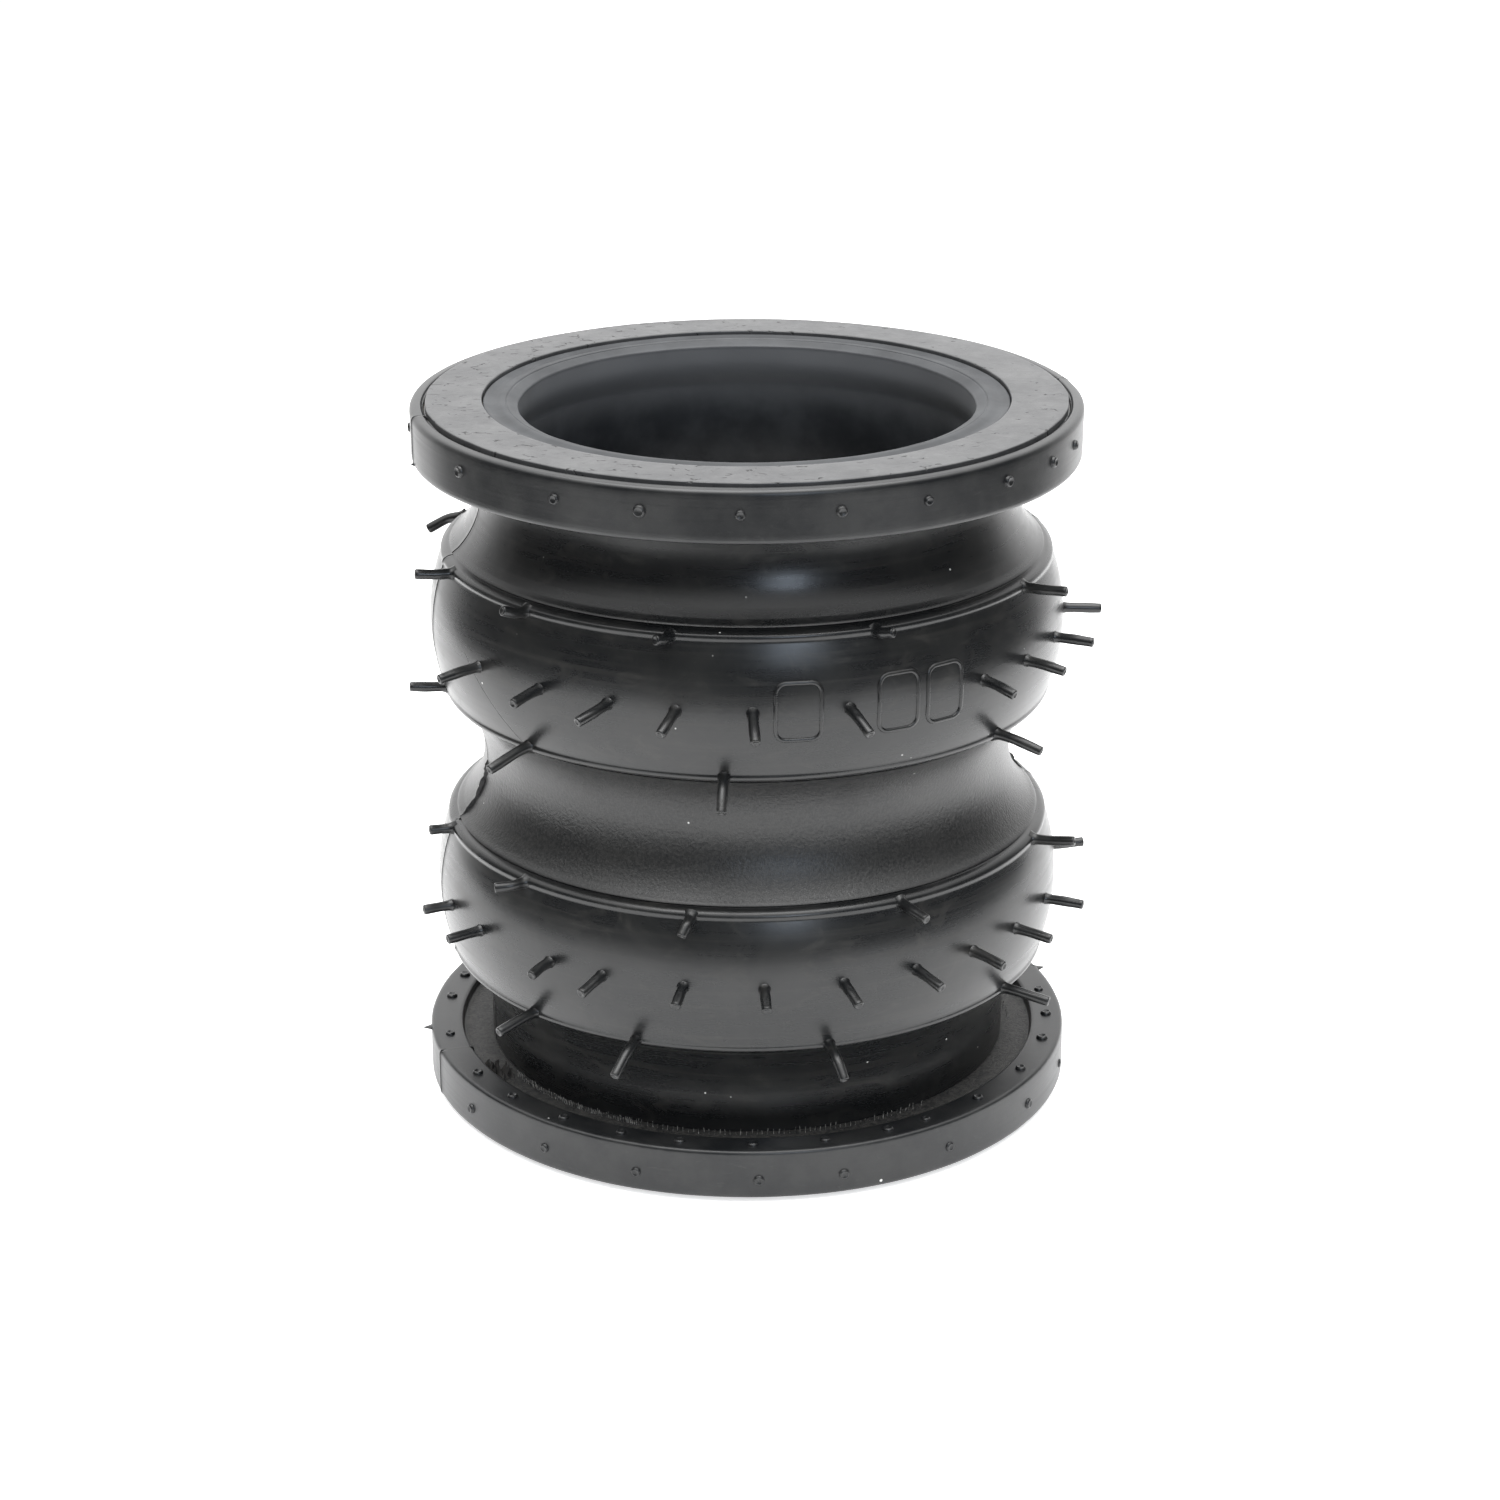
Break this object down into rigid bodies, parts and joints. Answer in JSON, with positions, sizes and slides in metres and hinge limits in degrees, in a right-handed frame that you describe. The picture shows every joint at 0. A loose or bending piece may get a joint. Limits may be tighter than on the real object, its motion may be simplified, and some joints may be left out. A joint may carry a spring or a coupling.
{
  "type": "rubber expansion joint",
  "caption": "Moulded twin-arch rubber expansion joint body with a straight bore, beaded flanges and fabric-reinforced wall; it squeezes, stretches and tilts between two pipe flanges.",
  "frame": {"origin": "on the bore's axis, in the plane of the lower sealing face", "axes": "+Z along the bore from the lower to the upper flange; -Y is the front, where the mould's vent pips start"},
  "size_m": [0.2183, 0.2214, 0.23],
  "materials": {
    "cover_rubber": "black moulded chloroprene, satin",
    "facing_rubber": "dark grey moulded rubber, scuffed satin",
    "tube_rubber": "black rubber, smooth",
    "filler_rubber": "black rubber, matt",
    "nylon_cord": "rubberised nylon tyre cord",
    "bead_steel": "bronze-coated steel wire"
  },
  "bodies": {
    "lower_flange": {"lower_flange_rim": "cover_rubber", "lower_sealing_face": "facing_rubber", "lower_bead_wire": "bead_steel", "lower_bead_wrap": "nylon_cord", "lower_bead_filler": "filler_rubber"},
    "lower_neck": {"lower_neck_cover": "cover_rubber"},
    "lower_arch": {"lower_arch_cover": "cover_rubber"},
    "waist": {"waist_cover": "cover_rubber", "waist_hoop": "bead_steel", "inner_tube": "tube_rubber", "inner_cord_ply": "nylon_cord", "outer_cord_ply": "nylon_cord"},
    "upper_arch": {"upper_arch_cover": "cover_rubber"},
    "upper_neck": {"upper_neck_cover": "cover_rubber"},
    "upper_flange": {"upper_flange_rim": "cover_rubber", "upper_sealing_face": "facing_rubber", "upper_bead_wire": "bead_steel", "upper_bead_wrap": "nylon_cord", "upper_bead_filler": "filler_rubber"}
  },
  "joints": [
    {"name": "lower_tilt_x", "type": "hinge", "parent": "lower_flange", "child": "lower_neck", "pos_m": [0, 0, 0.02952], "axis": [1, 0, 0], "range_deg": [-10, 10], "stiffness_Nm_per_rad": 286, "deforming": ["lower_neck_cover", "lower_arch_cover", "inner_tube", "inner_cord_ply", "outer_cord_ply"]},
    {"name": "lower_tilt_y", "type": "hinge", "parent": "lower_neck", "child": "lower_arch", "pos_m": [0, 0, 0.05378], "axis": [0, 1, 0], "range_deg": [-10, 10], "stiffness_Nm_per_rad": 286, "deforming": ["lower_neck_cover", "lower_arch_cover", "inner_tube", "inner_cord_ply", "outer_cord_ply"]},
    {"name": "lower_arch_squeeze", "type": "slide", "parent": "lower_arch", "child": "waist", "axis": [0, 0, 1], "range_m": [-0.025, 0.015], "stiffness_N_per_m": 100000, "deforming": ["lower_arch_cover", "waist_cover", "inner_tube", "inner_cord_ply", "outer_cord_ply"]},
    {"name": "upper_arch_squeeze", "type": "slide", "parent": "waist", "child": "upper_arch", "axis": [0, 0, 1], "range_m": [-0.025, 0.015], "stiffness_N_per_m": 100000, "deforming": ["upper_arch_cover", "waist_cover"]},
    {"name": "upper_tilt_x", "type": "hinge", "parent": "upper_arch", "child": "upper_neck", "pos_m": [0, 0, 0.17622], "axis": [1, 0, 0], "range_deg": [-10, 10], "stiffness_Nm_per_rad": 286, "deforming": ["upper_neck_cover", "upper_arch_cover"]},
    {"name": "upper_tilt_y", "type": "hinge", "parent": "upper_neck", "child": "upper_flange", "pos_m": [0, 0, 0.20047], "axis": [0, 1, 0], "range_deg": [-10, 10], "stiffness_Nm_per_rad": 286, "deforming": ["upper_neck_cover", "upper_arch_cover"]}
  ],
  "couplings": [
    {"joint": "upper_arch_squeeze", "follows": "lower_arch_squeeze", "ratio": 1}
  ]
}
